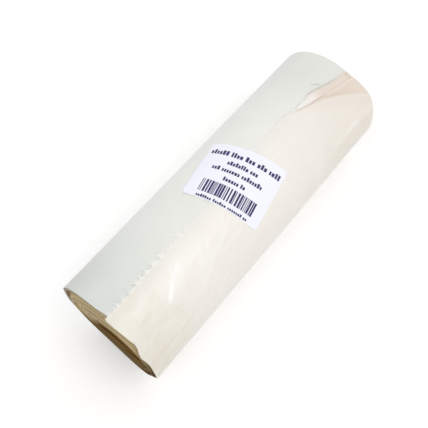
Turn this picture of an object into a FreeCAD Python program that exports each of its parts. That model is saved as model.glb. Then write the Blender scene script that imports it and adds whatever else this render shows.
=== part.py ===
import FreeCAD, Part
import math
import os

# A coreless roll of bin bags with a paper label stuck across its free edge.
# The roll lies along X on a small flat spot, and the free edge of the last bag runs along its top.
# An angle runs from the top of the roll towards -Y. A place is a distance along X and an angle.

Vector = FreeCAD.Vector
Point2d = FreeCAD.Base.Vector2d
half_turn = 180.0
full_turn = 360.0

# Film and winding
film = 0.03
folded_layers = 8
trapped_air = 0.06
web = film * folded_layers + trapped_air

# Roll
roll_length = 190.0
roll_radius = 33.0
flat_width = 14.0
edge_angle = 5.0

# Hollow that the winding spindle leaves
hollow_half_width = 15.0
hollow_half_height = 8.0
hollow_shift_y = -5.0
hollow_shift_z = -2.5

# Turns that show at both ends, each ridge a bundle of real turns
shown_turns = 8
groove_width = 0.3
groove_depth = 4.0
groove_rim = 1.2
arcs_per_turn = 8

# Perforation nicks in the free edge
nick_pitch = 5.7
nick_length = 1.1
nick_reach = 0.9
nick_margin = 4.0

# Corner where the free edge is pulled open: where it starts, and how far the edge draws back
corner_length = 42.0
corner_draw_back = 6.5

# Pleats that fan out from the corner to the far end: angle at the end, width and height there.
# A pleat's section, from foot to foot, is in shares of its half width and of its height.
pleats = (
    (20.0, 4.2, 0.7),
    (30.0, 3.4, 0.5),
    (39.0, 3.6, 0.7),
    (50.0, 6.6, 1.5),
)
pleat_section = ((-1.0, 0.0), (-0.55, 0.55), (-0.1, 1.0), (0.4, 0.8), (1.0, 0.0))
pleat_stations = 5
pleat_start_width = 0.8
pleat_start_height = 0.08
pleat_root = 0.4

# Paper label
label_width = 45.5
label_height = 36.0
label_corner = 2.0
label_corner_steps = 3
label_thickness = 0.12
label_gap = 0.02
label_turn = 13.5
label_x = 0.5
label_angle = 7.7

# Print on the label: rows of plain marks, as the height of their foot line, their height,
# and their start and length along the label
ink_thickness = 0.03
ink_gap = 0.01
mark_rows = (
    (10.9, 2.8, -20.4, 41.0),
    (5.9, 2.2, -8.1, 17.0),
    (1.3, 2.3, -14.7, 29.8),
    (-3.8, 2.1, -6.0, 12.4),
    (-17.3, 2.2, -18.6, 33.2),
)
marks_in_rows = (6, 2, 5, 2, 3)
mark_space = 1.5
bar_field_start = -15.5
bar_field_length = 32.0
bar_foot = -13.9
bar_height = 7.7
bar_pitch = 1.6
bar_widths = (0.4, 0.8, 0.5, 1.0, 0.35)

# How far a cutting block runs past the face that it cuts
overrun = 1.0

axis_height = math.sqrt(roll_radius ** 2 - (flat_width / 2) ** 2)
far_end = roll_length / 2
near_end = -far_end


def radial(angle):
    turned = math.radians(angle)
    return Vector(0, -math.sin(turned), math.cos(turned))


def tangent(angle):
    turned = math.radians(angle)
    return Vector(0, -math.cos(turned), -math.sin(turned))


# The outermost turn is two half circles. The second one is half a web smaller and its centre
# lies half a web lower, so the turn passes one web below its own free edge.
axis = Vector(0, 0, axis_height)
second_axis = axis + radial(edge_angle + half_turn) * (web / 2)
second_radius = roll_radius - web / 2


def arc(centre, radius, start, end):
    middle = (start + end) / 2
    points = [centre + radial(angle) * radius for angle in (start, middle, end)]
    return Part.Arc(*points).toShape()


def along_x(section, start, length):
    solid = section.extrude(Vector(length, 0, 0))
    solid.translate(Vector(start, 0, 0))
    return solid


def roll_section():
    half_way = edge_angle + half_turn
    last = edge_angle + full_turn
    first_half = arc(axis, roll_radius, edge_angle, half_way)
    second_half = arc(second_axis, second_radius, half_way, last)
    free_edge = Part.LineSegment(
        second_axis + radial(last) * second_radius,
        axis + radial(edge_angle) * roll_radius,
    ).toShape()
    outline = Part.Face(Part.Wire([first_half, second_half, free_edge]))
    low = -roll_radius
    wide = 2 * roll_radius
    floor_corners = [Vector(0, -wide, low), Vector(0, wide, low), Vector(0, wide, 0),
                     Vector(0, -wide, 0), Vector(0, -wide, low)]
    floor = Part.Face(Part.makePolygon(floor_corners))
    return outline.cut([floor, hollow_section()]).Faces[0]


def hollow_section():
    centre = axis + Vector(0, hollow_shift_y, hollow_shift_z)
    width_end = centre + Vector(0, hollow_half_width, 0)
    height_end = centre + Vector(0, 0, hollow_half_height)
    oval = Part.Ellipse(width_end, height_end, centre)
    return Part.Face(Part.Wire([oval.toShape()]))


# A winding line that starts on the oval hollow and grows into the round outside.
# The share is 0 at the hollow and 1 at the outside.
def winding_point(share):
    angle = math.radians(edge_angle + full_turn * shown_turns * share)
    half_width = hollow_half_width + (roll_radius - hollow_half_width) * share
    half_height = hollow_half_height + (roll_radius - hollow_half_height) * share
    shift = Vector(0, hollow_shift_y, hollow_shift_z) * (1 - share)
    return axis + shift + Vector(0, -half_width * math.sin(angle), half_height * math.cos(angle))


def beside_winding(share, side):
    step = 0.0001
    ahead = winding_point(share + step) - winding_point(share - step)
    across = Vector(0, -ahead.z, ahead.y)
    across.normalize()
    return winding_point(share) + across * (side * groove_width / 2)


def arc_chain(points):
    return [Part.Arc(*points[i:i + 3]).toShape() for i in range(0, len(points) - 2, 2)]


def groove_section():
    ridge = (roll_radius - hollow_half_width) / shown_turns
    first = 1.0 / (2 * shown_turns)
    last = 1 - (groove_rim + ridge / 2) / (roll_radius - hollow_half_width)
    arcs = round((last - first) * shown_turns * arcs_per_turn)
    shares = [first + (last - first) * i / (2 * arcs) for i in range(2 * arcs + 1)]
    inner = [beside_winding(share, -1) for share in shares]
    outer = [beside_winding(share, 1) for share in shares]
    outer.reverse()
    tail = Part.LineSegment(inner[-1], outer[0]).toShape()
    head = Part.LineSegment(outer[-1], inner[0]).toShape()
    return Part.Face(Part.Wire(arc_chain(inner) + [tail] + arc_chain(outer) + [head]))


# A flat prism that stands on the roll's surface, from its corners around a place
def prism_at(x, angle, turn, corners, depth, rise):
    turned = math.radians(turn)
    along = Vector(math.sin(turned), 0, 0) + tangent(angle) * math.cos(turned)
    upward = Vector(math.cos(turned), 0, 0) - tangent(angle) * math.sin(turned)
    foot = axis + Vector(x, 0, 0) + radial(angle) * (roll_radius - depth)
    points = [foot + along * a + upward * u for a, u in corners]
    face = Part.Face(Part.makePolygon(points + points[:1]))
    return face.extrude(radial(angle) * (depth + rise))


def nicks():
    run = roll_length - corner_length - 2 * nick_margin
    count = int(run / nick_pitch) + 1
    reach = nick_reach
    half = nick_length / 2
    corners = ((-reach, -half), (reach, -half), (reach, half), (-reach, half))
    places = [near_end + nick_margin + nick_pitch * i for i in range(count)]
    return [prism_at(x, edge_angle, 0, corners, web, overrun) for x in places]


# The wedge of the last turn that is drawn back from the free edge at the far corner
def corner_wedge():
    start = far_end - corner_length
    beyond = corner_length + overrun
    draw = corner_draw_back * beyond / corner_length
    corners = ((-overrun, 0), (0, 0), (draw, beyond), (-overrun, beyond))
    prism = prism_at(start, edge_angle, 0, corners, roll_radius / 2, overrun)
    axis_start = axis + Vector(start - overrun, 0, 0)
    length = beyond + 2 * overrun
    under = Part.makeCylinder(roll_radius - web, length, axis_start, Vector(1, 0, 0))
    return prism.cut(under)


# A pleat widens and rises from the corner's start to the far end
def pleat(end_angle, end_width, end_height):
    wires = []
    for i in range(pleat_stations):
        share = i / (pleat_stations - 1)
        x = far_end - corner_length * (1 - share)
        width = pleat_start_width + (end_width - pleat_start_width) * share
        height = pleat_start_height + (end_height - pleat_start_height) * share
        inset = math.degrees(pleat_start_width / roll_radius)
        crest_angle = edge_angle + (end_angle - edge_angle) * share + inset
        half_angle = math.degrees(width / 2 / roll_radius)
        station = axis + Vector(x, 0, 0)
        root = roll_radius - pleat_root
        rise = pleat_root + height
        points = [station + radial(crest_angle + half_angle * w) * (root + rise * h)
                  for w, h in pleat_section]
        wires.append(Part.makePolygon(points + points[:1]))
    return Part.makeLoft(wires, True, True)


def bag_roll():
    section = roll_section()
    body = along_x(section, near_end, roll_length)
    groove = groove_section()
    grooves = [
        along_x(groove, near_end, groove_depth),
        along_x(groove, far_end - groove_depth, groove_depth),
    ]
    body = body.cut(grooves + nicks() + [corner_wedge()])
    ridges = [pleat(*sizes) for sizes in pleats]
    return body.fuse(ridges).removeSplitter()


# The roll's outer line at a height above it, across the free edge. From the edge a sheet
# that lies on the roll runs straight down to where it meets the layer one web lower.
def line_over_edge(height, low_angle, high_angle):
    lower_radius = second_radius + height
    upper_radius = roll_radius + height
    bridge = math.degrees(math.acos(lower_radius / (upper_radius + web / 2)))
    touch_angle = edge_angle - bridge
    upper = arc(axis, upper_radius, high_angle, edge_angle)
    lower = arc(second_axis, lower_radius, touch_angle, low_angle)
    ramp = Part.LineSegment(
        axis + radial(edge_angle) * upper_radius,
        second_axis + radial(touch_angle) * lower_radius,
    ).toShape()
    return [upper, ramp, lower]


def end_of(edge, which):
    return edge.Vertexes[which].Point


def layer_over_edge(bottom, thickness):
    reach = math.hypot(label_width, label_height) / 2
    spread = math.degrees(reach / roll_radius)
    low_angle = label_angle - spread
    high_angle = label_angle + spread
    below = line_over_edge(bottom, low_angle, high_angle)
    above = line_over_edge(bottom + thickness, low_angle, high_angle)
    low_side = Part.LineSegment(end_of(below[-1], -1), end_of(above[-1], -1)).toShape()
    high_side = Part.LineSegment(end_of(above[0], 0), end_of(below[0], 0)).toShape()
    section = Part.Face(Part.Wire(Part.sortEdges(below + above + [low_side, high_side])[0]))
    return along_x(section, label_x - reach, 2 * reach)


# A place on the label, from its centre: how far along its rows and how far up them
def place_on_label(along, upward):
    turned = math.radians(label_turn)
    x = label_x + along * math.sin(turned) + upward * math.cos(turned)
    around = along * math.cos(turned) - upward * math.sin(turned)
    return x, label_angle + math.degrees(around / roll_radius)


def square_corners(width, height):
    corners = ((-1, -1), (1, -1), (1, 1), (-1, 1))
    return [(a * width / 2, u * height / 2) for a, u in corners]


def round_corners(width, height, radius):
    points = []
    for quarter, (a, u) in enumerate(square_corners(width - 2 * radius, height - 2 * radius)):
        for step in range(label_corner_steps + 1):
            turned = math.radians(90 * (quarter + 2 + step / label_corner_steps))
            points.append((a + radius * math.cos(turned), u + radius * math.sin(turned)))
    return points


# The label's straight edges are bent round the roll, so each is a helix between two radii
def wrapped(outline):
    places = [place_on_label(along, upward) for along, upward in outline]
    points = [Point2d(math.radians(90 + angle), x) for x, angle in places]
    faces = []
    outlines = []
    for radius in (roll_radius - overrun, roll_radius + overrun):
        surface = Part.Cylinder()
        surface.Center = axis
        surface.Axis = Vector(1, 0, 0)
        surface.Radius = radius
        edges = []
        for i, point in enumerate(points):
            side = Part.Geom2d.Line2dSegment(point, points[(i + 1) % len(points)])
            edges.append(side.toShape(surface))
        faces.append(Part.Face(surface, [Part.Wire(edges)]))
        outlines.append(edges)
    for inner_edge, outer_edge in zip(*outlines):
        faces.append(Part.makeRuledSurface(inner_edge, outer_edge))
    shell = Part.makeShell(faces)
    shell.sewShape()
    return Part.Solid(shell)


def label():
    paper = layer_over_edge(label_gap, label_thickness)
    outline = wrapped(round_corners(label_width, label_height, label_corner))
    return paper.common(outline).Solids[0]


def mark(along, foot, width, height):
    x, angle = place_on_label(along + width / 2, foot + height / 2)
    corners = ((-width / 2, -height / 2), (width / 2, -height / 2),
               (width / 2, height / 2), (-width / 2, height / 2))
    return prism_at(x, angle, label_turn, corners, overrun, overrun)


def print_marks():
    marks = []
    for (foot, height, start, length), count in zip(mark_rows, marks_in_rows):
        width = (length - mark_space * (count - 1)) / count
        for i in range(count):
            marks.append(mark(start + (width + mark_space) * i, foot, width, height))
    for i in range(int(bar_field_length / bar_pitch)):
        width = bar_widths[i % len(bar_widths)]
        marks.append(mark(bar_field_start + bar_pitch * i, bar_foot, width, bar_height))
    return marks


def label_print():
    ink = layer_over_edge(label_gap + label_thickness + ink_gap, ink_thickness)
    return Part.makeCompound(ink.common(print_marks()).Solids)


os.makedirs("parts", exist_ok=True)
bag_roll().exportStep("parts/bag_roll.step")
label().exportStep("parts/label.step")
label_print().exportStep("parts/label_print.step")
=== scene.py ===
import math
import random

import bpy
import numpy as np
from mathutils import Matrix, Vector


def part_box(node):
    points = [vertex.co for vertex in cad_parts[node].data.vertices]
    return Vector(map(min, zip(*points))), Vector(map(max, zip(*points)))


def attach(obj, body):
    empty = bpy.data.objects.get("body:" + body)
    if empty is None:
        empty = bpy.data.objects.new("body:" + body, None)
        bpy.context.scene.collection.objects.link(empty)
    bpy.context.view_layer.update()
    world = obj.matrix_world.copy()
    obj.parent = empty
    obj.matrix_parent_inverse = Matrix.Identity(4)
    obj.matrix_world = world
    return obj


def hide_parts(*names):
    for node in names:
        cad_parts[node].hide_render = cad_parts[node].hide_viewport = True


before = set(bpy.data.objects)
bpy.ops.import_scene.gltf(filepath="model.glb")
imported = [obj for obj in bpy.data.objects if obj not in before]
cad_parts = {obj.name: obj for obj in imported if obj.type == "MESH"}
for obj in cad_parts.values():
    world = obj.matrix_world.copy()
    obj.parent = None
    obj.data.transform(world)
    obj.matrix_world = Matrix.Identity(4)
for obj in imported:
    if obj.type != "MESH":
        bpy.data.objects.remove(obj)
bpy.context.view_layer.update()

mm = 0.001

# The roll as it was packed. It lies along X, and an angle runs from its top towards -Y.
rollLow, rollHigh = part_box("bag_roll")
roll = {
    "length": rollHigh[0] - rollLow[0],
    "radius": -rollLow[1],
    "flatWidth": 14 * mm,      # soft roll, so it lies on a small flat
    "web": 0.3 * mm,           # one turn of the folded film
    "edgeAngle": 5.0,          # free edge of the last turn, in degrees
}
roll["axisHeight"] = math.sqrt(roll["radius"] ** 2 - (roll["flatWidth"] / 2) ** 2)
farEnd = roll["length"] / 2


def hexColor(text):
    values = [int(text[i:i + 2], 16) / 255 for i in (1, 3, 5)]
    linear = [v / 12.92 if v <= 0.04045 else ((v + 0.055) / 1.055) ** 2.4 for v in values]
    return (*linear, 1.0)


def addNode(tree, kind, inputs=None, **settings):
    node = tree.nodes.new(kind)
    for name, value in settings.items():
        setattr(node, name, value)
    for name, value in (inputs or {}).items():
        if isinstance(value, bpy.types.NodeSocket):
            tree.links.new(value, node.inputs[name])
        else:
            node.inputs[name].default_value = value
    return node


def newObject(name, data):
    piece = bpy.data.objects.new(name, data)
    bpy.context.collection.objects.link(piece)
    return piece


def newMaterial(name):
    material = bpy.data.materials.new(name)
    material.use_nodes = True
    material.node_tree.nodes.clear()
    return material, material.node_tree


def maths(tree, operation, *values, **settings):
    node = addNode(tree, "ShaderNodeMath", dict(enumerate(values)), operation=operation,
                   **settings)
    return node.outputs[0]


def blend(tree, share, below, above):
    inputs = {0: share, 6: below, 7: above}
    return addNode(tree, "ShaderNodeMix", inputs, data_type="RGBA").outputs[2]


def remap(tree, value, start, end, low=0.0, high=1.0, **settings):
    inputs = {"Value": value, "From Min": start, "From Max": end, "To Min": low, "To Max": high}
    return addNode(tree, "ShaderNodeMapRange", inputs, **settings).outputs["Result"]


def noise(tree, place, scale, detail=2.0, roughness=0.5):
    inputs = {"Vector": place, "Scale": scale, "Detail": detail, "Roughness": roughness}
    return addNode(tree, "ShaderNodeTexNoise", inputs).outputs["Fac"]


# Lines that run round the roll: noise that changes fast along X and slowly in Y and Z
def lines(tree, place, size, slow):
    drawn = addNode(tree, "ShaderNodeMapping", {
        "Vector": place, "Scale": (1 / size, slow, slow)})
    return noise(tree, drawn.outputs[0], 1.0)


def bump(tree, height, strength, distance):
    inputs = {"Height": height, "Strength": strength, "Distance": distance}
    return addNode(tree, "ShaderNodeBump", inputs).outputs[0]


def attribute(tree, name):
    return addNode(tree, "ShaderNodeAttribute", attribute_name=name).outputs["Fac"]


def objectPlace(tree):
    return addNode(tree, "ShaderNodeTexCoord").outputs["Object"]


def surface(tree, inputs):
    shader = addNode(tree, "ShaderNodeBsdfPrincipled", inputs)
    addNode(tree, "ShaderNodeOutputMaterial", {"Surface": shader.outputs[0]})


# Low-density polyethylene film, blown and wound tight: creamy white, satin, faintly cloudy
filmFinish = {
    "warm": "#F2F0EB",         # the loose last turn
    "coolShade": "#CFD6D1",         # the tight layer beneath it: a darker, cooler copy of the film's colour as painted shade, greyest at the near end
    "creamAndShade": "#DFDACB",        # where it lies loose over its own folds; at the near end and beside the long crease partly painted shade
    "foldTintAndShade": "#DCC9B9",         # painted light that passed through a fold several times, also painted shade in the corner's valley, creases and wrinkles
    "mistAndHighlight": "#FFFFFF",         # where it is stretched white, most along the perforation, and painted highlights on creases and wrinkles
    "shade": "#948979",        # painted shade and shadow: pits, under lifted edges and in sharp bottoms of creases
    "cloudSize": 24 * mm,
    "cloudShift": 0.2,
    "patchSize": 9 * mm,
    "patchShift": 0.3,
    "patchLow": 0.3,
    "patchHigh": 0.7,
    "streakSize": 1.8 * mm,
    "streakSlow": 20.0,
    "cockleSize": 3.2 * mm,
    "roughness": 0.36,
    "smoother": 0.07,
    "rougher": 0.09,
    "bump": 0.25,
    "relief": 0.05 * mm,
}


def filmMaterial():
    m = filmFinish
    material, tree = newMaterial("polyethyleneFilm")
    place = objectPlace(tree)
    clouds = noise(tree, place, 1 / m["cloudSize"], 3.0, 0.55)
    shift = remap(tree, clouds, 0.0, 1.0, -m["cloudShift"], m["cloudShift"])
    # painted shade: where the unshaded share is low the darker cool copy shows; clouds shift the
    # share at random
    warm = maths(tree, "ADD", attribute(tree, "unshadedWarmth"), shift, use_clamp=True)
    color = blend(tree, warm, hexColor(m["coolShade"]), hexColor(m["warm"]))
    patches = noise(tree, place, 1 / m["patchSize"], 4.0, 0.6)
    uneven = remap(tree, patches, m["patchLow"], m["patchHigh"], 1 - m["patchShift"],
                   1 + m["patchShift"], clamp=False)
    creamAndShade = maths(tree, "MULTIPLY", attribute(tree, "creamAndShade"), uneven, use_clamp=True)
    color = blend(tree, creamAndShade, color, hexColor(m["creamAndShade"]))
    for name in ("foldTintAndShade", "mistAndHighlight", "shade"):
        color = blend(tree, attribute(tree, name), color, hexColor(m[name]))
    # the marks left when the film was drawn run round the roll
    streaks = lines(tree, place, m["streakSize"], m["streakSlow"])
    gloss = remap(tree, streaks, 0.0, 1.0, m["roughness"] - m["smoother"],
                  m["roughness"] + m["rougher"])
    relief = maths(tree, "ADD", streaks, noise(tree, place, 1 / m["cockleSize"]))
    surface(tree, {
        "Base Color": color, "Roughness": gloss, "IOR": 1.51,
        "Normal": bump(tree, relief, m["bump"], m["relief"]),
        "Coat Weight": 0.2, "Coat Roughness": 0.16})
    return material


# The wound film seen edge-on at the ends. Light dies between the layers, and the colours paint
# it: tan where the upper turns let it in, olive below, and nearly black round the hollow.
edgeFinish = {
    # painted light and shade: tan for the upper turns, olive for the lower
    "upper": "#D3C098",
    "lower": "#735C38",
    "between": "#84714A",      # painted shade in the gaps between bundles of turns
    "outermost": "#C4BDA6",
    "ringShadow": "#62482A",
    # painted shade round the hollow
    "hollow": "#5C3B0C",
    "hollowLine": "#8E6A38",   # lighter lines in the painted shade, from inner turns that end a little deeper than their neighbours
    "changeHeight": 26 * mm,   # over the foot of the roll, at its middle
    "changeDepth": 5 * mm,
    "changeSlope": 0.35,       # the light comes in from the +Y side, so the change runs aslant
    "tightTo": 20 * mm,
    "tightFrom": 3 * mm,
    "tightTone": 0.4,
    # places from the innermost turn, 0, to the outermost, 1
    "hollowTo": 0.02,
    "hollowFades": 0.15,
    "paleFrom": 0.88,
    "paleTo": 0.97,
    "ringAt": 0.925,
    "ringCore": 0.01,
    "ringHalf": 0.045,
    # how much of each colour shows at most
    "paleMost": 0.7,
    "paleUnlit": 0.2,
    "ringMost": 0.85,
    "slippedMost": 0.62,
    "slippedLean": 0.1,        # so that the far end has none
    "slippedFrom": -30 * mm,
    "slippedTo": -38 * mm,
    "lineSize": 0.45 * mm,
    "lineSlow": 30.0,
    "lineLow": 0.42,
    "lineHigh": 0.62,
    "layerSize": 0.45 * mm,
    "bump": 0.4,
    "relief": 0.1 * mm,
}


def edgeMaterial():
    m = edgeFinish
    material, tree = newMaterial("woundFilmEdge")
    share = attribute(tree, "turnShare")
    place = objectPlace(tree)
    apart = addNode(tree, "ShaderNodeSeparateXYZ", {0: place}).outputs
    # painted light: the upper turns tan where the light gets in, the lower ones olive
    height = maths(tree, "MULTIPLY_ADD", apart["Y"], m["changeSlope"], apart["Z"])
    litFromAbove = remap(tree, height, m["changeHeight"] - m["changeDepth"],
                   m["changeHeight"] + m["changeDepth"], interpolation_type="SMOOTHSTEP")
    color = blend(tree, litFromAbove, hexColor(m["lower"]), hexColor(m["upper"]))
    # painted shade in the gaps, varied at random from turn to turn; the bundles lie closer
    # together on the tight side
    spread = remap(tree, apart["Y"], m["tightTo"], m["tightFrom"], m["tightTone"])
    gapShade = maths(tree, "MULTIPLY", attribute(tree, "turnTone"), spread)
    color = blend(tree, gapShade, color, hexColor(m["between"]))
    # the outer turns are pale only where the light reaches them
    outward = remap(tree, share, m["paleFrom"], m["paleTo"], 0.0, m["paleMost"])
    lit = remap(tree, litFromAbove, 0.0, 1.0, m["paleUnlit"])
    color = blend(tree, maths(tree, "MULTIPLY", outward, lit), color, hexColor(m["outermost"]))
    # painted shade: a few turns near the outside end deeper, and show as a dark ring
    fromRing = maths(tree, "ABSOLUTE", maths(tree, "SUBTRACT", share, m["ringAt"]))
    ringShaded = remap(tree, fromRing, m["ringCore"], m["ringHalf"], m["ringMost"], 0.0)
    color = blend(tree, ringShaded, color, hexColor(m["ringShadow"]))
    # painted shade round the hollow, crossed by lighter lines
    inward = remap(tree, share, m["hollowTo"], m["hollowFades"], 1.0, 0.0,
                   interpolation_type="SMOOTHERSTEP")
    lined = lines(tree, place, m["lineSize"], m["lineSlow"])
    lined = remap(tree, lined, m["lineLow"], m["lineHigh"])
    hollowShade = blend(tree, lined, hexColor(m["hollow"]), hexColor(m["hollowLine"]))
    color = blend(tree, inward, color, hollowShade)
    # the slipped turns shade each other on the loose side of the near end
    leaned = maths(tree, "MULTIPLY_ADD", apart["X"], m["slippedLean"], apart["Y"])
    aside = remap(tree, leaned, m["slippedFrom"], m["slippedTo"], 0.0, m["slippedMost"])
    color = blend(tree, aside, color, hexColor(m["hollow"]))
    layers = noise(tree, place, 1 / m["layerSize"])
    surface(tree, {
        "Base Color": color, "Roughness": 0.8, "IOR": 1.51, "Specular IOR Level": 0.15,
        "Normal": bump(tree, layers, m["bump"], m["relief"])})
    return material


# Coated self-adhesive paper: bluish white with a faint fibre relief
paperFinish = {
    "face": "#F7F8FF",
    "fibre": "#EFF1FD",
    "fibreSize": 0.8 * mm,
    "bump": 0.15,
    "relief": 0.03 * mm,
}


def paperMaterial():
    m = paperFinish
    material, tree = newMaterial("coatedPaper")
    fibres = noise(tree, objectPlace(tree), 1 / m["fibreSize"], 4.0, 0.6)
    tint = blend(tree, fibres, hexColor(m["face"]), hexColor(m["fibre"]))
    surface(tree, {
        "Base Color": tint, "Roughness": 0.5, "IOR": 1.5,
        "Normal": bump(tree, fibres, m["bump"], m["relief"])})
    return material


# Thermal transfer ink: navy, with pale pinholes where it missed the paper
inkFinish = {
    "full": "#18164E",
    "thin": "#4A4A90",
    "grainSize": 0.5 * mm,
    "grainLow": 0.45,
    "grainHigh": 0.75,
}


def inkMaterial():
    m = inkFinish
    material, tree = newMaterial("thermalTransferInk")
    grain = noise(tree, objectPlace(tree), 1 / m["grainSize"])
    missed = remap(tree, grain, m["grainLow"], m["grainHigh"])
    tint = blend(tree, missed, hexColor(m["full"]), hexColor(m["thin"]))
    surface(tree, {"Base Color": tint, "Roughness": 0.45, "IOR": 1.5})
    return material


film = filmMaterial()
edges = edgeMaterial()
paper = paperMaterial()
ink = inkMaterial()
print("materials made")


def ease(value, low, high):
    share = np.clip((value - low) / (high - low), 0, 1)
    return share * share * (3 - 2 * share)


def hump(value, centre, width):
    return np.exp(-((value - centre) / width) ** 2)


# Soft waves about 1 high. The direction they run in is in degrees from the roll's axis.
def waves(x, around, length, direction, spread, seed, count=14):
    chance = np.random.default_rng(seed)
    total = np.zeros(np.broadcast(x, around).shape)
    for _ in range(count):
        heading = math.radians(direction + chance.uniform(-spread, spread))
        ownLength = length * chance.uniform(0.6, 1.6)
        across = x * math.cos(heading) + around * math.sin(heading)
        total += np.sin(across * 2 * math.pi / ownLength + chance.uniform(0, 2 * math.pi))
    return total / math.sqrt(count)


# Sharp crests about 1 high between flat stretches
def crests(x, around, length, direction, spread, seed, count=9):
    chance = np.random.default_rng(seed)
    total = np.zeros(np.broadcast(x, around).shape)
    for _ in range(count):
        heading = math.radians(direction + chance.uniform(-spread, spread))
        ownLength = length * chance.uniform(0.7, 1.5)
        across = x * math.cos(heading) + around * math.sin(heading)
        bent = 0.35 * np.sin((x * math.sin(heading) - around * math.cos(heading)) / length)
        wave = np.abs(np.sin(across * math.pi / ownLength + bent + chance.uniform(0, math.pi)))
        patch = ease(waves(x, around, 26, 90, 90, int(chance.integers(1000)), 5), 0.2, 1.2)
        total += patch * (1 - wave) ** 4
    return total


# A crease between two places of the sheet: how much of its height is left at each point
def crease(x, around, start, end, width):
    run = np.array(end) - np.array(start)
    length = np.hypot(*run)
    along = ((x - start[0]) * run[0] + (around - start[1]) * run[1]) / length
    aside = ((x - start[0]) * run[1] - (around - start[1]) * run[0]) / length
    ends = ease(along, -0.1 * length, 0.35 * length) * ease(-along, -1.1 * length, -0.65 * length)
    return ends * np.exp(-(aside / width) ** 2)


# The last turn of film and the overlap beneath it. Lengths in mm, angles in degrees.
sheet = {
    "overlap": 50.0,
    # rows of the mesh, by the angle from the free edge: from, to and step
    "rows": ((0, 96, 1.0), (96, 290, 4.0), (290, 342, 3.0), (342, 367, 1.25)),
    "extraRows": (203.0, 205.0),
    "lastRows": (367, 3.0),    # from and step, to the end of the overlap
    "thickness": 0.22,
    "looseForm": (70, 150),    # from the free edge: where the loose turn's own form dies away
    "looseTone": (120, 250),   # and its own colour
    "upperTo": 140,            # the corner's marks end here,
    "lowerFrom": 340,          # and the layer beneath the free edge starts here
    "looseLift": 0.04,
    "cornerLift": 0.2,
    "liftReach": 3.0,
    "lump": 0.09,
    "ripple": 0.02,
    "slantWave": 0.04,
    "wrinkle": 0.1,
    "endWrinkle": 0.08,
    "fewWrinkle": 0.03,
    "covered": (-18, 22),      # along X, where the label hides the perforation
    "rimReach": 30,            # how far in from an end its rim draws the sheet along
    "softening": 1.4,          # each way along X, of the lines below
    # where the free edge runs: place along X and angle
    "edgeLine": ((-95, 6.3), (-81, 6.3), (-70, 4.7), (-37, 4.5), (0, 2.8), (27, 1.2), (44, 0.6),
                 (50, 2.6), (54, 5.0), (57, 4.3), (61.6, 4.5), (66.8, 4.0), (75, 8.4),
                 (80.4, 11.7), (85.5, 13.4), (91.4, 14.0), (95, 17.5)),
    # how far the rims stand out, by the angle from the free edge
    "nearRim": ((0, 0.5), (3, 0.7), (11, 0.6), (19, 0.3), (27, 0.0), (33, -0.5), (37, 0.0),
                (41, 1.1), (46, 1.9), (53, 1.4), (59, 1.2), (70, 1.6), (82, 1.9), (91, 1.6),
                (98, 0.9), (108, -0.3), (124, -1.1), (203, -1.1), (205, -0.2), (252, -0.2),
                (270, -0.6), (349, -0.6), (358, -1.3), (410, -1.6)),
    "farRim": ((0, -1.4), (8, -1.0), (22, -0.2), (36, 0.9), (48, 1.5), (65, 1.1), (79, 0.0),
               (200, 0.0), (307, 0.1), (333, -0.5), (358, -0.9), (410, -1.2)),
    # perforation: pitch of its nicks, half the width of a nick and how far it reaches in
    "nickPitch": 5.7,
    "nickWidth": 0.75,
    "nickReach": 0.3,
    "nickSteps": 8,
    # corner pulled open at the far end: the ridge that carries its outer side, and the dark
    # crease that runs inside it
    "cornerStart": 54.0,
    "cornerRidge": ((54, 5.0), (59, 10.3), (65, 14.1), (71, 19.3), (79, 27.3), (87, 37.1),
                    (95, 47.5)),
    "cornerCrease": ((53, 5.5), (58.6, 9.3), (63.8, 12.1), (69.2, 13.9), (73.3, 15.6),
                     (78.8, 17.5), (82.1, 18.7), (87.8, 20.6), (95, 23.0)),
    "ridgeHeight": 0.75,
    # beside the inner crease: height, distance from it, width
    "lipRidges": ((-0.3, 0.25, 0.55), (0.28, -1.4, 1.0)),
    "pulledRidges": ((0.18, 3.0, 1.1), (0.14, 6.0, 0.9), (0.1, 9.5, 1.4)),
    # long soft crease beside the corner: places along X, distances round from the top
    "bendPlaces": (52, 66, 75, 91),
    "bendRounds": (36.6, 36.6, 35.9, 37.4),
    "bendHeight": 0.3,
    # short crease in the layer beneath, beside the corner: its two ends and its depth
    "shortEnds": ((72.5, -1.4), (77, 3.6)),
    "shortDepth": 0.25,
}


# Distance round the roll in mm
def arc(angle):
    return np.radians(angle) * (roll["radius"] / mm)


def sheetPlaces():
    s = sheet
    start, rowStep = s["lastRows"]
    turned = np.unique(np.concatenate([
        *(np.arange(*row) for row in s["rows"]), s["extraRows"],
        np.arange(start, 360 + s["overlap"] + 0.1, rowStep)]))
    half = farEnd / mm
    # steps along X divide the perforation's pitch, so that every nick has the same form
    step = s["nickPitch"] / s["nickSteps"]
    count = int(half / step)
    places = np.arange(-count, count + 1)
    low, high = s["covered"]
    covered = (places * step > low) & (places * step < high)
    kept = places[~covered | (places % 2 == 0)]
    return np.meshgrid(turned, np.concatenate([[-half], kept * step, [half]]), indexing="ij")


def lineAngle(name, x):
    line = np.array(sheet[name])
    shifts = np.linspace(-sheet["softening"], sheet["softening"], 5)
    return np.mean([np.interp(x + shift, line[:, 0], line[:, 1]) for shift in shifts], axis=0)


# Creases that catch the light: start and end as X and distance round from the top, height, width
glintCreases = (
    ((-53, 9.5), (-61, 15.5), 0.3, 0.55),
    ((-60, 14.5), (-69.5, 21.5), 0.3, 0.75),
    ((-38, 12.0), (-43, 20.5), 0.2, 0.8),
    ((-66, 24.5), (-72, 40.0), 0.22, 0.9),
    ((-58, 21.0), (-80, 33.0), 0.18, 0.9),
    ((-84, 27.0), (-88, 36.0), 0.2, 1.0),
    ((-30, 18.0), (-47, 30.0), 0.14, 0.8),
    ((-20, 8.0), (-30, 17.0), 0.1, 0.9),
)


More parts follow.
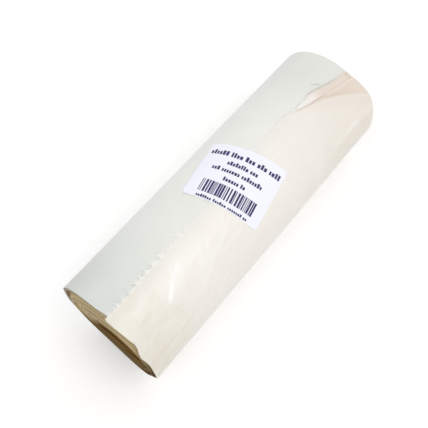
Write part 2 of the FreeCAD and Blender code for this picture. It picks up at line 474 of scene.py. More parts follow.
# Painted highlights along creases that catch the light, partly where the sheet is stretched
# white: start, end, width and how much
glintHighlights = (
    ((-51, 9.0), (-61, 16.0), 1.1, 0.4),
    ((-60, 14.5), (-69.5, 21.5), 1.1, 0.6),
    ((-50, 9.0), (-71, 23.0), 3.8, 0.2),
    ((-34, 10.0), (-47, 24.0), 3.6, 0.16),
)


# Where the wrinkles of the loose turn run aslant
def slantedPart(x, angle):
    return ease(x, -94, -72) * ease(-x, 8, 30) * ease(angle, 8, 25) * ease(-angle, -88, -60)


# Distance from the long soft crease beside the corner, down the camera's side
def fromBend(x, around):
    return around - np.interp(x, sheet["bendPlaces"], sheet["bendRounds"])


# Short crease in the layer beneath, beside the corner
def shortCrease(x, around, width):
    return crease(x, around - arc(360), *sheet["shortEnds"], width)


# Where the corner has parted from the layer beneath
def cornerOpening(x):
    return ease(x, sheet["cornerStart"] - 4, sheet["cornerStart"] + 2)


# Soft lumps of the whole roll, which the label follows too
def lumps(x, around):
    return sheet["lump"] * waves(x, around, 60, 70, 60, 3)


# Fine sharp wrinkles: slanting ones on the near half of the loose turn, a few others all over
def wrinkles(x, turned, angle, around):
    s = sheet
    loose = 1 - ease(turned, *s["looseForm"])
    near = loose * slantedPart(x, angle)
    everywhere = ease(x, -94, -84) * ease(arc(turned), 2, 8) * (1 - 0.7 * ease(x, 50, 60))
    high = s["wrinkle"] * near * crests(x, around, 9, 60, 30, 21)
    high += s["endWrinkle"] * near * ease(-x, 55, 75) * crests(x, around, 5, 20, 60, 44)
    few = s["fewWrinkle"] * (1 + loose) * everywhere
    return high + few * crests(x, around, 13, 70, 80, 33)


# Height of the sheet over its even spiral, in mm
def sheetRise(x, turned, angle):
    s = sheet
    around = arc(angle)
    loose = 1 - ease(turned, *s["looseForm"])
    rise = lumps(x, around) + s["ripple"] * waves(x, around, 9, 15, 25, 5)
    lift = s["looseLift"] * (1 + 0.5 * waves(x, 0, 12, 0, 0, 8))
    lift += s["cornerLift"] * ease(x, 60, 69)
    rise += lift * loose * np.exp(-arc(turned) / s["liftReach"])
    rise -= s["shortDepth"] * (turned > s["lowerFrom"]) * shortCrease(x, around, 0.5)

    # wrinkles that run slantwise over the near half of the loose turn
    slanted = slantedPart(x, angle) * waves(x, around, 8, 56, 22, 11, 20)
    rise += loose * s["slantWave"] * slanted
    rise += wrinkles(x, turned, angle, around)
    for start, end, height, width in glintCreases:
        rise += loose * height * crease(x, around, start, end, width)
    bend = fromBend(x, around)
    bent = hump(bend, 0, np.where(bend < 0, 3.2, 1.6)) * ease(x, 48, 62)
    rise += loose * s["bendHeight"] * bent

    # pulled corner: the outer ridge, and small ridges and a hollow beside the free edge
    pull = ease(x, s["cornerStart"] - 2, s["cornerStart"] + 30)
    outerSide = arc(angle - lineAngle("cornerRidge", x))
    innerSide = arc(angle - lineAngle("cornerCrease", x))
    corner = pull * s["ridgeHeight"] * hump(outerSide, 0, np.where(outerSide < 0, 2.8, 7.5))
    for share, ridges in ((cornerOpening(x), s["lipRidges"]), (pull, s["pulledRidges"])):
        for height, centre, width in ridges:
            corner += share * height * hump(innerSide, centre, width)
    return rise + np.where(turned < s["upperTo"], corner, 0)


def rollPoint(x, radius, angle):
    turned = np.radians(angle)
    y = -radius * np.sin(turned)
    z = roll["axisHeight"] / mm + radius * np.cos(turned)
    return np.stack([x, y, z], axis=-1) * mm


def sheetPoint(x, turned, angle, rise):
    return rollPoint(x, roll["radius"] / mm - roll["web"] / mm * turned / 360 + rise, angle)


# A closed sheet between two grids of points
def shellMesh(name, outer, inner):
    rows, columns = outer.shape[:2]
    index = np.arange(rows * columns).reshape(rows, columns)
    below = index + rows * columns

    def quads(a, b, c, d):
        return np.stack([a.ravel(), b.ravel(), c.ravel(), d.ravel()], axis=1)

    faces = np.concatenate([
        quads(index[:-1, :-1], index[1:, :-1], index[1:, 1:], index[:-1, 1:]),
        quads(below[:-1, :-1], below[:-1, 1:], below[1:, 1:], below[1:, :-1]),
        quads(index[:-1, 0], below[:-1, 0], below[1:, 0], index[1:, 0]),
        quads(index[:-1, -1], index[1:, -1], below[1:, -1], below[:-1, -1]),
        quads(index[0, :-1], index[0, 1:], below[0, 1:], below[0, :-1]),
        quads(index[-1, :-1], below[-1, :-1], below[-1, 1:], index[-1, 1:]),
    ])
    points = np.concatenate([outer.reshape(-1, 3), inner.reshape(-1, 3)])
    mesh = bpy.data.meshes.new(name)
    mesh.from_pydata(points.tolist(), [], faces.tolist())
    mesh.polygons.foreach_set("use_smooth", [True] * len(mesh.polygons))
    mesh.set_sharp_from_angle(angle=math.radians(50))
    return newObject(name, mesh)


# One value for each outer point, and the same for the inner point behind it
def paint(piece, name, values):
    both = np.concatenate([values.ravel(), values.ravel()])
    layer = piece.data.attributes.new(name, "FLOAT", "POINT")
    layer.data.foreach_set("value", both.astype(np.float32))


# How much of each tone of the film shows
tones = {
    "creamNear": 0.5,
    "creamFar": 0.13,
    "creamSide": 0.22,
    "creamBlotch": 0.22,
    "creamRim": 0.9,
    "creamBend": 0.15,
    "foldLoose": 0.1,
    "foldFar": 0.15,
    "foldValley": 0.52,
    "foldRidge": 0.35,
    "foldCrease": 0.42,
    "foldLayers": 0.4,
    "foldOuter": 0.15,
    "foldWrinkle": 0.15,
    "shadePits": 0.32,
    "shadeEdge": 0.4,
    "shadeShort": 0.55,
    "shadeSide": 0.07,
    "shadeFrayed": 0.85,
    "shadeCrease": 0.36,
    "shadeNear": 0.2,
    "cutUpper": 0.6,
    "cutLower": 1.0,
    "mistTear": 0.22,
    "mistTearNear": 0.38,
    "mistBend": 0.09,
    "mistBendMost": 0.2,
    "mistLip": 0.32,
    "mistWrinkle": 0.12,
}


# Places along X and distances round are in mm here, angles in degrees
def sheetTones(x, turned, angle):
    s = sheet
    t = tones
    around = arc(angle)
    outerSide = arc(angle - lineAngle("cornerRidge", x))
    innerSide = arc(angle - lineAngle("cornerCrease", x))
    beyond = arc(lineAngle("edgeLine", x) + 360 - angle)
    bend = fromBend(x, around)
    loose = 1 - ease(turned, *s["looseTone"])
    upper = np.where(turned < s["upperTo"], 1, 0)
    lower = turned > s["lowerFrom"]
    farSide = ease(turned, 200, 285)
    corner = ease(x, s["cornerStart"], s["cornerStart"] + 14) * upper
    opened = cornerOpening(x) * upper
    creased = np.clip(wrinkles(x, turned, angle, around) / s["wrinkle"], 0, 1)

    # painted shade: the loose turn takes on the darker colour of the layer beneath it close to
    # the free edge, and the layer beneath is darkest at the near end
    beneathUnshaded = 0.15 + 0.6 * ease(x, -100, -30) - 0.15 * ease(x, 30, 90)
    parted = loose * (0.78 + 0.22 * ease(angle, 3, 15) + 0.12 * ease(x, 0, 60))
    unshadedWarmth = parted + (1 - loose) * beneathUnshaded

    # the film is creamier towards both ends of the loose turn and down its side; at the near end
    # this is partly painted shade
    creamAndShade = t["creamNear"] * ease(-x, 50, 88) + t["creamFar"] * ease(x, 15, 80)
    creamAndShade = loose * (creamAndShade + t["creamSide"] * hump(angle, 72, 24))
    blotch = np.clip(waves(x, around, 8, 70, 25, 77) - 0.1, 0, 1)
    creamAndShade += t["creamBlotch"] * loose * blotch * ease(-x, 56, 78) * ease(angle, 15, 30)
    creamAndShade += t["creamRim"] * (turned > 190) * (turned < 300) * ease(-x, 93.2, 94.2)
    # painted shade on the lower side of the long soft crease
    shadedBesideBend = ease(x, 44, 66) * ease(bend, -0.8, 2.4) * (1 - ease(turned, 80, 120))
    creamAndShade += t["creamBend"] * loose * shadedBesideBend

    foldTintAndShade = loose * (t["foldLoose"] + t["foldFar"] * ease(x, 20, 80))
    # painted shade in the corner's valley, beside its ridge and along its crease
    shadedValley = ease(innerSide, -0.5, 3.0) * ease(-outerSide, -0.2, 1.6)
    foldTintAndShade += t["foldValley"] * corner * shadedValley * (1 - 0.3 * ease(x, 84, 97))
    foldTintAndShade += t["foldRidge"] * corner * hump(outerSide, -1.2, 1.2) * (1 - ease(x, 66, 92))
    foldTintAndShade += t["foldCrease"] * opened * hump(innerSide, 0.2, 0.36)
    # several layers lie over each other between the free edge and the inner crease
    foldTintAndShade += t["foldLayers"] * corner * ease(x, 64, 74) * ease(-innerSide, -0.8, 0.4)
    foldTintAndShade += t["foldOuter"] * corner * hump(outerSide, 3.0, 4.0)
    # painted shade on one flank of each wrinkle
    foldTintAndShade += t["foldWrinkle"] * loose * np.clip(np.roll(creased, 2, axis=0) - creased, 0, 1)

    # painted shadow: pits beside the free edge, the dark line under the corner's lifted edge, and
    # shade in the short crease
    spots = waves(x, beyond, 1.5, 0, 60, 61, 8)
    shade = t["shadePits"] * ease(-x, 10, 60) * hump(beyond, 1.0, 1.1) * ease(spots, 0.5, 1.4)
    shade += t["shadeEdge"] * ease(x, 63, 68) * ease(-x, -90, -76) * hump(beyond, 0.45, 0.65)
    shade += t["shadeShort"] * shortCrease(x, around, 0.32)
    shade *= lower
    # painted shade on the layer beneath towards the far end
    shade += t["shadeSide"] * farSide * ease(x, 35, 85)
    # the rim's corner is frayed, with painted shade among the frays
    frayed = ease(waves(x, around, 1.8, 45, 90, 63, 8), 0.2, 1.1) * upper
    shade += t["shadeFrayed"] * ease(x, 90.5, 92.5) * hump(angle, 19.5, 4.0) * frayed
    # painted shade along the start of the inner crease
    shade += t["shadeCrease"] * opened * hump(innerSide, 0.1, 0.34) * (1 - ease(x, 64, 76))
    # the cut edge is painted darker: partly the grey of the film seen edge-on, partly painted
    # shade
    shade[:, 0] += np.where(turned[:, 0] > 300, t["cutLower"], t["cutUpper"])
    # painted shade: the layer beneath is greyest low down at its near end
    shade += t["shadeNear"] * farSide * ease(345 - angle, -5, 45) * ease(-x, 55, 92)

    # the film is stretched white on both sides of the tear, in patches, most at the near end
    patchy = ease(waves(x, 0, 4, 0, 0, 95, 9), -0.9, 1.2) * ease(-x, -52, -40)
    patchy *= t["mistTear"] + t["mistTearNear"] * ease(-x, 20, 62)
    mistAndHighlight = patchy * np.where(turned < 20, hump(arc(turned), 0, 1.3), 0)
    mistAndHighlight += patchy * np.where(lower, hump(beyond, 0.2, 1.0), 0)
    # painted highlight on the upper side of the long soft crease
    bendHighlight = t["mistBend"] * ease(x, 50, 64) + t["mistBendMost"] * hump(x, 76, 5)
    mistAndHighlight += bendHighlight * hump(bend, -1.5, 1.6) * upper
    # painted highlights along the glinting creases
    for start, end, width, white in glintHighlights:
        mistAndHighlight += white * crease(x, around, start, end, width) * upper
    # the lip of the corner catches the light where it starts to part
    mistAndHighlight += t["mistLip"] * opened * (1 - ease(x, 65, 71)) * hump(innerSide, -1.8, 1.5)
    # painted highlight on the crests of the wrinkles
    mistAndHighlight += t["mistWrinkle"] * loose * creased
    return {"unshadedWarmth": unshadedWarmth, "creamAndShade": creamAndShade, "foldTintAndShade": foldTintAndShade, "mistAndHighlight": mistAndHighlight, "shade": shade}


def rimOut(name, turned):
    rim = np.array(sheet[name])
    return np.interp(turned, rim[:, 0], rim[:, 1])


def makeSheet():
    s = sheet
    turned, along = sheetPlaces()
    half = farEnd / mm
    x = along - rimOut("nearRim", turned) * ease(-along, half - s["rimReach"], half)
    x += rimOut("farRim", turned) * ease(along, half - s["rimReach"], half)
    pitches = along / s["nickPitch"]
    fromNick = np.abs(pitches - np.round(pitches)) * s["nickPitch"]
    nick = s["nickReach"] * np.clip(1 - fromNick / s["nickWidth"], 0, 1)
    nick *= 1 - ease(turned, 0, 2.4)
    edgeShift = (lineAngle("edgeLine", x) - roll["edgeAngle"]) * (1 - ease(turned, 0, 30))
    edgeShift += np.degrees(nick / (roll["radius"] / mm))
    angle = roll["edgeAngle"] + turned + edgeShift
    rise = sheetRise(x, turned, angle)
    outer = sheetPoint(x, turned, angle, rise)
    inner = sheetPoint(x, turned, angle, rise - s["thickness"])
    outer[..., 2] = np.maximum(outer[..., 2], 0.0)
    inner[..., 2] = np.maximum(inner[..., 2], s["thickness"] * mm)
    piece = shellMesh("lastTurn", outer, inner)
    for name, values in sheetTones(x, turned, angle).items():
        paint(piece, name, np.clip(values, 0, 1))
    piece.data.materials.append(film)
    return piece


lastTurn = makeSheet()
print("last turn", len(lastTurn.data.polygons))

# The wound turns inside, whose rims show at both ends
winding = {
    "turns": 34,               # each stands for about two real turns
    "stepsPerTurn": 84,
    "hollowHalfWidth": 16 * mm,
    "hollowHalfHeight": 7 * mm,
    "hollowY": -6.5 * mm,
    "hollowZ": -3.5 * mm,
    "hollowSlope": -0.22,
    "outerRadius": roll["radius"] - 0.95 * mm,
    "sheetThickness": 0.46 * mm,
    "recess": 0.7 * mm,        # the turns end behind the rim of the last one
    "cup": -0.3 * mm,          # the middle stands out a little at the ends
    "lean": 1.9 * mm,          # the turns have slipped outwards on the loose side, low down
    "leanAngle": 105.0,
    "wander": 0.2 * mm,        # uneven rims from turn to turn
    "bundle": 1.6 * mm,        # and from one bundle of turns to the next
    "slipPower": 1.3,          # how the cup and the slip grow
    "pressedUnder": 6 * mm,    # the lowest turns are pressed flat by the roll's own weight
    "pressedShare": 0.88,
    "taper": 300.0,            # the first and the last turn start from nothing
    "farShift": 7.0,           # the far end has its own rims
    "turnScale": 1.7,
    "bundleScale": 0.13,
    "toneScale": 0.45,
    "toneLow": 0.44,
    "toneHigh": 0.58,
}


def newTree(name, sockets):
    tree = bpy.data.node_groups.new(name, "GeometryNodeTree")
    for socket, kind in sockets.items():
        tree.interface.new_socket(socket, in_out="INPUT", socket_type="NodeSocket" + kind)
    tree.interface.new_socket("Geometry", in_out="OUTPUT", socket_type="NodeSocketGeometry")
    return tree, addNode(tree, "NodeGroupInput").outputs


def storeValue(tree, geometry, name, value):
    stored = addNode(tree, "GeometryNodeStoreNamedAttribute", {
        "Geometry": geometry, "Name": name, "Value": value}, data_type="FLOAT", domain="POINT")
    return stored.outputs[0]


def endTree(tree, geometry, material):
    realized = addNode(tree, "GeometryNodeRealizeInstances", {"Geometry": geometry})
    finished = addNode(tree, "GeometryNodeSetMaterial", {
        "Geometry": realized.outputs[0], "Material": material})
    addNode(tree, "NodeGroupOutput", {"Geometry": finished.outputs[0]})
    return tree


def windingTree():
    w = winding
    tree, given = newTree("windFilm", {
        "Turns": "Int", "Steps": "Int", "Hollow Half Width": "Float",
        "Hollow Half Height": "Float", "Hollow Shift": "Vector", "Hollow Slope": "Float",
        "Axis Height": "Float", "Outer Radius": "Float", "Sheet Thickness": "Float",
        "Half Length": "Float", "Cup": "Float", "Lean": "Float", "Lean Angle": "Float",
        "Wander": "Float", "Bundle": "Float", "Seed": "Float", "Material": "Material"})

    def calc(operation, *values):
        return maths(tree, operation, *values)

    steps = calc("MULTIPLY_ADD", given["Turns"], given["Steps"], 1.0)
    grid = addNode(tree, "GeometryNodeMeshGrid", {
        "Size X": 1.0, "Size Y": 1.0, "Vertices X": steps, "Vertices Y": 5})
    place = addNode(tree, "ShaderNodeSeparateXYZ", {
        0: addNode(tree, "GeometryNodeInputPosition").outputs[0]})
    share = calc("ADD", place.outputs["X"], 0.5)
    profile = calc("ADD", place.outputs["Y"], 0.5)

    # five columns go round the film's section: near inside, near outside, far outside, far inside
    isOuter = calc("MULTIPLY", calc("GREATER_THAN", profile, 0.1),
                   calc("LESS_THAN", profile, 0.6))
    isFar = calc("MULTIPLY", calc("GREATER_THAN", profile, 0.4),
                 calc("LESS_THAN", profile, 0.9))
    thin = calc("MINIMUM", 1.0, calc("MULTIPLY", w["taper"], calc(
        "MINIMUM", share, calc("SUBTRACT", 1.0, share))))
    fullGrowth = calc("SUBTRACT", given["Outer Radius"], given["Hollow Half Width"])
    ownShare = calc("MULTIPLY_ADD", calc("MULTIPLY", isOuter, thin),
                    calc("DIVIDE", given["Sheet Thickness"], fullGrowth), share)
    angle = calc("MULTIPLY", share, calc("MULTIPLY", given["Turns"], 2 * math.pi))
    halfWidth = calc("MULTIPLY_ADD", ownShare, fullGrowth, given["Hollow Half Width"])
    tallGrowth = calc("SUBTRACT", given["Outer Radius"], given["Hollow Half Height"])
    halfHeight = calc("MULTIPLY_ADD", ownShare, tallGrowth, given["Hollow Half Height"])
    shift = addNode(tree, "ShaderNodeSeparateXYZ", {0: given["Hollow Shift"]})
    inward = calc("SUBTRACT", 1.0, share)
    aside = calc("MULTIPLY", calc("MULTIPLY", halfWidth, -1.0), calc("SINE", angle))
    y = calc("MULTIPLY_ADD", shift.outputs["Y"], inward, aside)
    slope = calc("MULTIPLY", given["Hollow Slope"], inward)
    evenZ = calc("MULTIPLY_ADD", shift.outputs["Z"], inward,
                 calc("MULTIPLY", halfHeight, calc("COSINE", angle)))
    roundZ = calc("MULTIPLY_ADD", aside, slope, evenZ)
    z = calc("ADD", roundZ, given["Axis Height"])
    pressed = calc("MULTIPLY_ADD", calc("SUBTRACT", z, w["pressedUnder"]),
                   w["pressedShare"], w["pressedUnder"])
    z = calc("MAXIMUM", z, pressed)

    turnNumber = calc("MULTIPLY", share, given["Turns"])
    rimPlace = addNode(tree, "ShaderNodeCombineXYZ", {
        0: turnNumber, 1: calc("MULTIPLY", isFar, w["farShift"]), 2: given["Seed"]}).outputs[0]
    wander = 0.0
    for scale, amount in ((w["turnScale"], "Wander"), (w["bundleScale"], "Bundle")):
        centred = calc("SUBTRACT", noise(tree, rimPlace, scale, 2.0, 0.6), 0.5)
        wander = calc("MULTIPLY_ADD", calc("MULTIPLY", centred, 3.0), given[amount], wander)
    slipped = calc("MULTIPLY", given["Cup"], calc("POWER", inward, w["slipPower"]))
    sideways = calc("MULTIPLY", y, calc("MULTIPLY", calc("SINE", given["Lean Angle"]), -1.0))
    leaning = calc("MAXIMUM", 0.0, calc("DIVIDE", calc(
        "MULTIPLY_ADD", roundZ, calc("COSINE", given["Lean Angle"]), sideways),
        given["Outer Radius"]))
    leant = calc("MULTIPLY", given["Lean"], calc("POWER", leaning, w["slipPower"]))
    evenReach = calc("ADD", calc("SUBTRACT", given["Half Length"], slipped), wander)
    reach = calc("MULTIPLY_ADD", leant, calc("SUBTRACT", 1.0, isFar), evenReach)
    x = calc("MULTIPLY", reach, calc("MULTIPLY_ADD", isFar, 2.0, -1.0))
    toneNoise = addNode(tree, "ShaderNodeTexNoise", {
        "W": turnNumber, "Scale": w["toneScale"], "Detail": 3.0, "Roughness": 0.75},
        noise_dimensions="1D")
    tone = remap(tree, toneNoise.outputs["Fac"], w["toneLow"], w["toneHigh"])
    # stored while the grid is still flat, because both are read from its places
    stored = storeValue(tree, grid.outputs[0], "turnShare", share)
    stored = storeValue(tree, stored, "turnTone", tone)
    moved = addNode(tree, "GeometryNodeSetPosition", {
        "Geometry": stored,
        "Position": addNode(tree, "ShaderNodeCombineXYZ", {0: x, 1: y, 2: z}).outputs[0]})
    closed = addNode(tree, "GeometryNodeMergeByDistance", {
        "Geometry": moved.outputs[0], "Distance": 0.001 * mm})
    return endTree(tree, closed.outputs[0], given["Material"])


# The tree's result as a plain mesh
def bakeTree(name, tree, values, start=None):
    carrier = newObject(name + "Carrier", start or bpy.data.meshes.new(name + "Start"))
    modifier = carrier.modifiers.new("build", "NODES")
    modifier.node_group = tree
    for item in tree.interface.items_tree:
        if item.in_out == "INPUT" and item.name in values:
            modifier[item.identifier] = values[item.name]
    graph = bpy.context.evaluated_depsgraph_get()
    result = bpy.data.meshes.new_from_object(carrier.evaluated_get(graph))
    bpy.data.objects.remove(carrier)
    result.name = name
    return newObject(name, result)


w = winding
woundTurns = bakeTree("woundTurns", windingTree(), {
    "Turns": w["turns"], "Steps": w["stepsPerTurn"],
    "Hollow Half Width": w["hollowHalfWidth"], "Hollow Half Height": w["hollowHalfHeight"],
    "Hollow Shift": (0.0, w["hollowY"], w["hollowZ"]), "Hollow Slope": w["hollowSlope"],
    "Axis Height": roll["axisHeight"],
    "Outer Radius": w["outerRadius"], "Sheet Thickness": w["sheetThickness"],
    "Half Length": farEnd - w["recess"], "Cup": w["cup"], "Wander": w["wander"],
    "Lean": w["lean"], "Lean Angle": math.radians(w["leanAngle"]),
    "Bundle": w["bundle"], "Seed": 4.0,
    "Material": edges})
print("wound turns", len(woundTurns.data.polygons))

# Paper label across the free edge, turned a little. Lengths in mm.
label = {
    "width": 45.5,
    "height": 36.0,
    "corner": 2.0,
    "thickness": 0.12,
    "gap": 0.06,
    "turn": 13.5,
    "x": 0.5,
    "angle": 7.7,
    "lift": 0.35,              # the corners have come up a little
    "liftPower": 6,
    "stepReach": 7.0,          # degrees over which it rides on the lifted free edge
    "steps": (92, 58),
}


def placeOnLabel(along, upward):
    turned = math.radians(label["turn"])
    x = label["x"] + along * math.sin(turned) + upward * math.cos(turned)
    around = along * math.cos(turned) - upward * math.sin(turned)
    return x, label["angle"] + np.degrees(around / (roll["radius"] / mm))


# The label lies on the sheet, and from the free edge it runs straight down to the lower layer
def labelPoint(along, upward, above):
    b = label
    x, angle = placeOnLabel(along, upward)
    under = angle - lineAngle("edgeLine", x)
    radius = roll["radius"] / mm
    web = roll["web"] / mm
    bridge = math.degrees(math.acos((radius - web) / radius))
    drop = web * np.where(under >= 0, under / 360, np.clip(-under / bridge, 0, 1))
    lifted = sheet["looseLift"] * hump(under, 0, b["stepReach"])
    outward = np.abs(along * upward) / (b["width"] / 2 * b["height"] / 2)
    rise = b["gap"] + lumps(x, arc(angle)) + lifted + b["lift"] * outward ** b["liftPower"]
    return rollPoint(x, radius - drop + rise + above, angle)


def makeLabel():
    b = label
    evenly = [np.linspace(-1, 1, count) for count in b["steps"]]
    share, place = np.meshgrid(*evenly, indexing="ij")
    upward = b["height"] / 2 * np.sin(place * math.pi / 2)
    # rows near the top and the foot are shorter, which rounds the corners
    past = np.clip(np.abs(upward) - (b["height"] / 2 - b["corner"]), 0, b["corner"])
    along = share * (b["width"] / 2 - b["corner"] + np.sqrt(b["corner"] ** 2 - past ** 2))
    outer = labelPoint(along, upward, b["thickness"])
    inner = labelPoint(along, upward, 0.0)
    piece = shellMesh("paperLabel", outer, inner)
    piece.data.materials.append(paper)
    return piece


paperLabel = makeLabel()
print("label", len(paperLabel.data.polygons))

# Plain print in place of the label's lettering: rows of blocks and a field of bars. Lengths in
# mm: foot line, height of the blocks, start and length along the label, width of a block.
printing = {
    "rows": ((10.8, 3.0, -20.4, 41.2, 1.45), (5.7, 2.5, -8.2, 17.8, 1.2),
             (1.0, 2.5, -14.8, 31.0, 1.25), (-4.0, 2.4, -6.1, 13.5, 1.15)),
    "smallRow": (-17.3, 1.7, -15.0, 30.0, 1.0),
    "barFoot": -13.9,
    "barHeight": 7.7,
    "barStart": -15.6,
    "barLength": 32.0,
    "barModule": 0.34,
    "thickness": 0.03,
    "above": 0.02,
    "columnStep": 0.8,
    "heights": (0.7, 0.7, 1.0),
    "widths": (0.75, 1.1),
    "letters": (3, 8),
    "letterGap": 0.32,
    "wordGap": 0.8,
    "barWidths": (1.2, 1.2, 2.3, 2.3, 3.3, 3.3),
    "barGaps": (0.9, 0.9, 1.7, 1.7, 2.6),
}


def inkBlock(along, foot, width, height):
    p = printing
    columns = max(2, int(width / p["columnStep"]) + 1)
    a, u = np.meshgrid(np.linspace(along, along + width, columns),
                       np.linspace(foot, foot + height, 4), indexing="ij")
    top = label["thickness"] + p["above"] + p["thickness"]
    return labelPoint(a, u, top), labelPoint(a, u, top - p["thickness"])


def printBlocks():
    p = printing
    chance = random.Random(12)
    blocks = []
    for foot, height, start, length, width in (*p["rows"], p["smallRow"]):
        along = start
        inWord = 0
        word = chance.randint(*p["letters"])
        while along < start + length - width:
            tall = height * chance.choice(p["heights"])
            own = width * chance.uniform(*p["widths"])
            blocks.append(inkBlock(along, foot, own, tall))
            along += own + width * p["letterGap"]
            inWord += 1
            if inWord >= word:
                along += width * p["wordGap"]
                inWord = 0
                word = chance.randint(*p["letters"])
    along = p["barStart"]
    while along < p["barStart"] + p["barLength"] - 3 * p["barModule"]:
        own = p["barModule"] * chance.choice(p["barWidths"])
        blocks.append(inkBlock(along, p["barFoot"], own, p["barHeight"]))
        along += own + p["barModule"] * chance.choice(p["barGaps"])
    return blocks


def makePrint():
    pieces = [shellMesh("inkBlock", outer, inner) for outer, inner in printBlocks()]
    with bpy.context.temp_override(active_object=pieces[0], selected_editable_objects=pieces):
        bpy.ops.object.join()
    piece = pieces[0]
    piece.name = "labelPrint"
    piece.data.name = "labelPrint"
    piece.data.materials.append(ink)
    return piece


labelPrint = makePrint()
print("print", len(labelPrint.data.polygons))

# Film that stretched and tore between the perforations, left standing along the free edge
tags = {
    "pitch": sheet["nickPitch"] * mm,
    "pathSteps": 6,            # in each pitch
    "spacing": 0.17,           # between two places for a flake, as a share of the pitch
    "size": 0.44 * mm,
    "stretches": ((-93.0, -20.5), (24.5, 53.0)),
    "above": 0.02,
    # the edge is most torn near the end where the roll was opened
    "mostTo": -75 * mm,
    "leastFrom": -40 * mm,
    "mostChance": 0.5,
    "leastChance": 0.18,
    # the least and the most of each random vector
    "shift": ((-0.6 * mm, -0.6 * mm, 0.0), (0.6 * mm, 1.0 * mm, 0.1 * mm)),
    "turn": ((-0.4, -0.4, -1.6), (0.4, 0.4, 1.6)),
    "scale": ((0.6, 0.4, 0.12), (2.4, 1.2, 0.25)),
}


def tagPath():
    places = []
    links = []
    for start, end in tags["stretches"]:
        first = round(start / sheet["nickPitch"]) * sheet["nickPitch"]
        for x in np.arange(first, end, sheet["nickPitch"] / tags["pathSteps"]):
            if x > first:
                links.append((len(places) - 1, len(places)))
            angle = float(lineAngle("edgeLine", x))
            rise = float(sheetRise(np.array(x), np.array(0.0), np.array(angle)))
            places.append(sheetPoint(x, 0.0, angle, rise + tags["above"]).tolist())
    mesh = bpy.data.meshes.new("tagPath")
    mesh.from_pydata(places, links, [])
    return mesh


def tagTree():
    t = tags
    tree, given = newTree("tearTags", {
        "Geometry": "Geometry", "Pitch": "Float", "Size": "Float", "Seed": "Int",
        "Material": "Material"})

    def vary(name):
        least, most = t[name]
        return addNode(tree, "FunctionNodeRandomValue", {
            0: least, 1: most, "Seed": given["Seed"]}, data_type="FLOAT_VECTOR").outputs[0]

    curve = addNode(tree, "GeometryNodeMeshToCurve", {"Mesh": given["Geometry"]})
    points = addNode(tree, "GeometryNodeCurveToPoints", {
        "Curve": curve.outputs[0],
        "Length": maths(tree, "MULTIPLY", given["Pitch"], t["spacing"])}, mode="LENGTH")
    place = addNode(tree, "GeometryNodeInputPosition").outputs[0]
    along = addNode(tree, "ShaderNodeSeparateXYZ", {0: place}).outputs["X"]
    chance = remap(tree, along, t["mostTo"], t["leastFrom"], t["mostChance"], t["leastChance"])
    kept = addNode(tree, "FunctionNodeRandomValue", {
        "Probability": chance, "Seed": given["Seed"]}, data_type="BOOLEAN")
    loose = addNode(tree, "GeometryNodeSetPosition", {
        "Geometry": points.outputs["Points"], "Offset": vary("shift")})
    # a three-sided flake, thickest in the middle
    flake = addNode(tree, "GeometryNodeMeshCone", {
        "Vertices": 3, "Radius Bottom": given["Size"], "Depth": given["Size"]}).outputs[0]
    # the flakes take the full unshaded colour and the full white, partly a painted highlight
    for name in ("unshadedWarmth", "mistAndHighlight"):
        flake = storeValue(tree, flake, name, 1.0)
    placed = addNode(tree, "GeometryNodeInstanceOnPoints", {
        "Points": loose.outputs[0], "Selection": kept.outputs[3], "Instance": flake,
        "Rotation": vary("turn"), "Scale": vary("scale")})
    return endTree(tree, placed.outputs[0], given["Material"])


tearTags = bakeTree("tearTags", tagTree(), {
    "Pitch": tags["pitch"], "Size": tags["size"], "Seed": 3, "Material": film}, tagPath())
print("tags", len(tearTags.data.polygons))

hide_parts("bag_roll")
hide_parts("bag_roll")
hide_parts("label")
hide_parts("label_print")
for piece, slot in ((lastTurn, "film"), (woundTurns, "film"), (tearTags, "film"),
                    (paperLabel, "label_paper"), (labelPrint, "label_ink")):
    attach(piece, "root")

# Studio: a pale floor that shows white to the camera, one warm soft lamp and a cool fill
studio = {
    "floorHalf": 3.0,
    "floorColor": "#F2F2F2",
    "floorGlow": 0.2,          # to the camera only, so that the plain floor is white
    "worldColor": "#FFFFFF",
    "worldLight": 0.88,
    "target": (0, 0, 0.03),
    # name, place, size, power and colour
    "lamps": (("key", (0.05, -0.5, 0.9), 0.6, 1.6, "#FFFBF4"),
              ("fill", (-0.5, 0.7, 0.6), 0.8, 0.3, "#E8F0FF")),
}


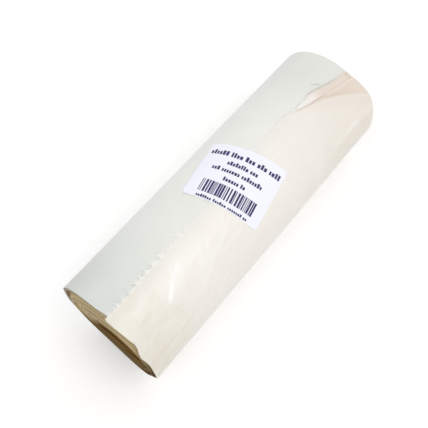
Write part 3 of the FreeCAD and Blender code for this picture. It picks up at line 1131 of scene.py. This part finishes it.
def makeFloor():
    half = studio["floorHalf"]
    mesh = bpy.data.meshes.new("floor")
    corners = [(-half, -half, 0), (half, -half, 0), (half, half, 0), (-half, half, 0)]
    mesh.from_pydata(corners, [], [(0, 1, 2, 3)])
    floor = newObject("floor", mesh)
    material, tree = newMaterial("paleFloor")
    coat = addNode(tree, "ShaderNodeBsdfDiffuse", {"Color": hexColor(studio["floorColor"])})
    rays = addNode(tree, "ShaderNodeLightPath").outputs
    glow = maths(tree, "MULTIPLY", rays["Is Camera Ray"], studio["floorGlow"])
    light = addNode(tree, "ShaderNodeEmission", {"Strength": glow})
    both = addNode(tree, "ShaderNodeAddShader", {0: coat.outputs[0], 1: light.outputs[0]})
    addNode(tree, "ShaderNodeOutputMaterial", {"Surface": both.outputs[0]})
    floor.data.materials.append(material)


def makeWorld():
    world = bpy.data.worlds.new("studio")
    bpy.context.scene.world = world
    world.use_nodes = True
    tree = world.node_tree
    tree.nodes.clear()
    rays = addNode(tree, "ShaderNodeLightPath").outputs
    seen = maths(tree, "ADD", rays["Is Camera Ray"], rays["Is Glossy Ray"], use_clamp=True)
    light = addNode(tree, "ShaderNodeBackground", {
        "Color": hexColor(studio["worldColor"]),
        "Strength": remap(tree, seen, 0.0, 1.0, studio["worldLight"])})
    addNode(tree, "ShaderNodeOutputWorld", {"Surface": light.outputs[0]})


def addLamp(name, place, size, power, color):
    lamp = bpy.data.lights.new(name, "AREA")
    lamp.shape = "DISK"
    lamp.size = size
    lamp.energy = power
    lamp.color = hexColor(color)[:3]
    holder = newObject(name, lamp)
    holder.location = place
    aim = Vector(studio["target"]) - Vector(place)
    holder.rotation_euler = aim.to_track_quat("-Z", "Y").to_euler()


makeFloor()
makeWorld()
for lamp in studio["lamps"]:
    addLamp(*lamp)

# The photograph's view, found from the roll's outline: a place in mm over the roll's axis
view = {
    "place": (-125.9, -92.9, 305.4),
    "right": (0.63283, -0.77429, 0.0),
    "down": (-0.69518, -0.56817, -0.44034),
    "lens": 51.66,
    "sensorWidth": 36,
    "nearest": 10 * mm,
}


def makeCamera():
    camera = bpy.data.cameras.new("camera")
    camera.lens = view["lens"]
    camera.sensor_width = view["sensorWidth"]
    camera.clip_start = view["nearest"]
    holder = newObject("camera", camera)
    right = Vector(view["right"]).normalized()
    back = right.cross(-Vector(view["down"])).normalized()
    upward = back.cross(right)
    place = Vector(view["place"]) * mm + Vector((0, 0, roll["axisHeight"]))
    turn = Matrix((right, upward, back)).transposed()
    holder.matrix_world = Matrix.Translation(place) @ turn.to_4x4()
    bpy.context.scene.camera = holder


makeCamera()
bpy.context.scene.view_settings.view_transform = "Standard"
print("stage, lamps and camera set")
